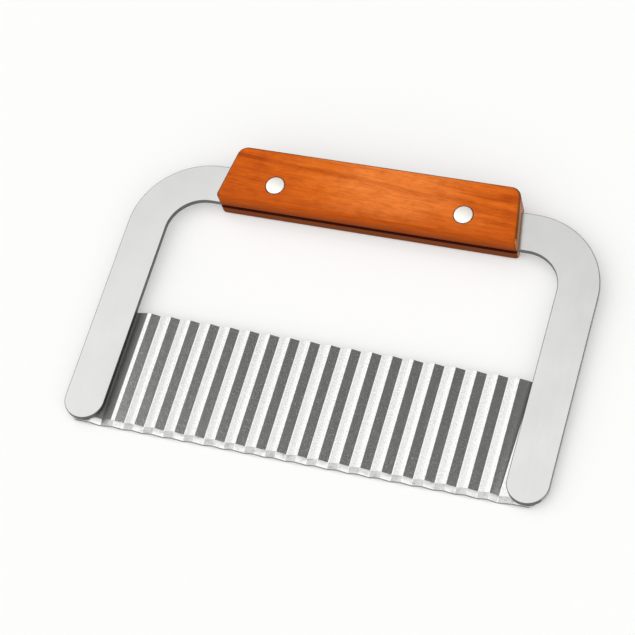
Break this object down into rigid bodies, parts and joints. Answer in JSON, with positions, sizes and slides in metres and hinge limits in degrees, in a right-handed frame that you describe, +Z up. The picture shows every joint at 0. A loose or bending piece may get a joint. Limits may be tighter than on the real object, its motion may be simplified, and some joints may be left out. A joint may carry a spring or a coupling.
{
  "type": "french fry cutter",
  "caption": "Hand-held crinkle cutter for potatoes: a U-shaped steel frame with a corrugated blade across its legs and a riveted wooden handle over its bar.",
  "frame": {"origin": "on the table the cutter lies on, under the middle of its bounding box", "axes": "+X along the blade, +Y from the cutting edge towards the handle, +Z up from the table, with the cutter's front upwards"},
  "size_m": [0.18, 0.1174, 0.014],
  "materials": {
    "frame_steel": "fine satin, tumbled after stamping",
    "blade_steel": "bright rolled",
    "handle_wood": "stained and varnished",
    "rivet_metal": "polished"
  },
  "bodies": {
    "root": {"frame": "frame_steel", "blade": "blade_steel", "handle": "handle_wood", "rivet_left_sleeve": "rivet_metal", "rivet_left_pin": "rivet_metal", "rivet_right_sleeve": "rivet_metal", "rivet_right_pin": "rivet_metal"}
  },
  "joints": []
}
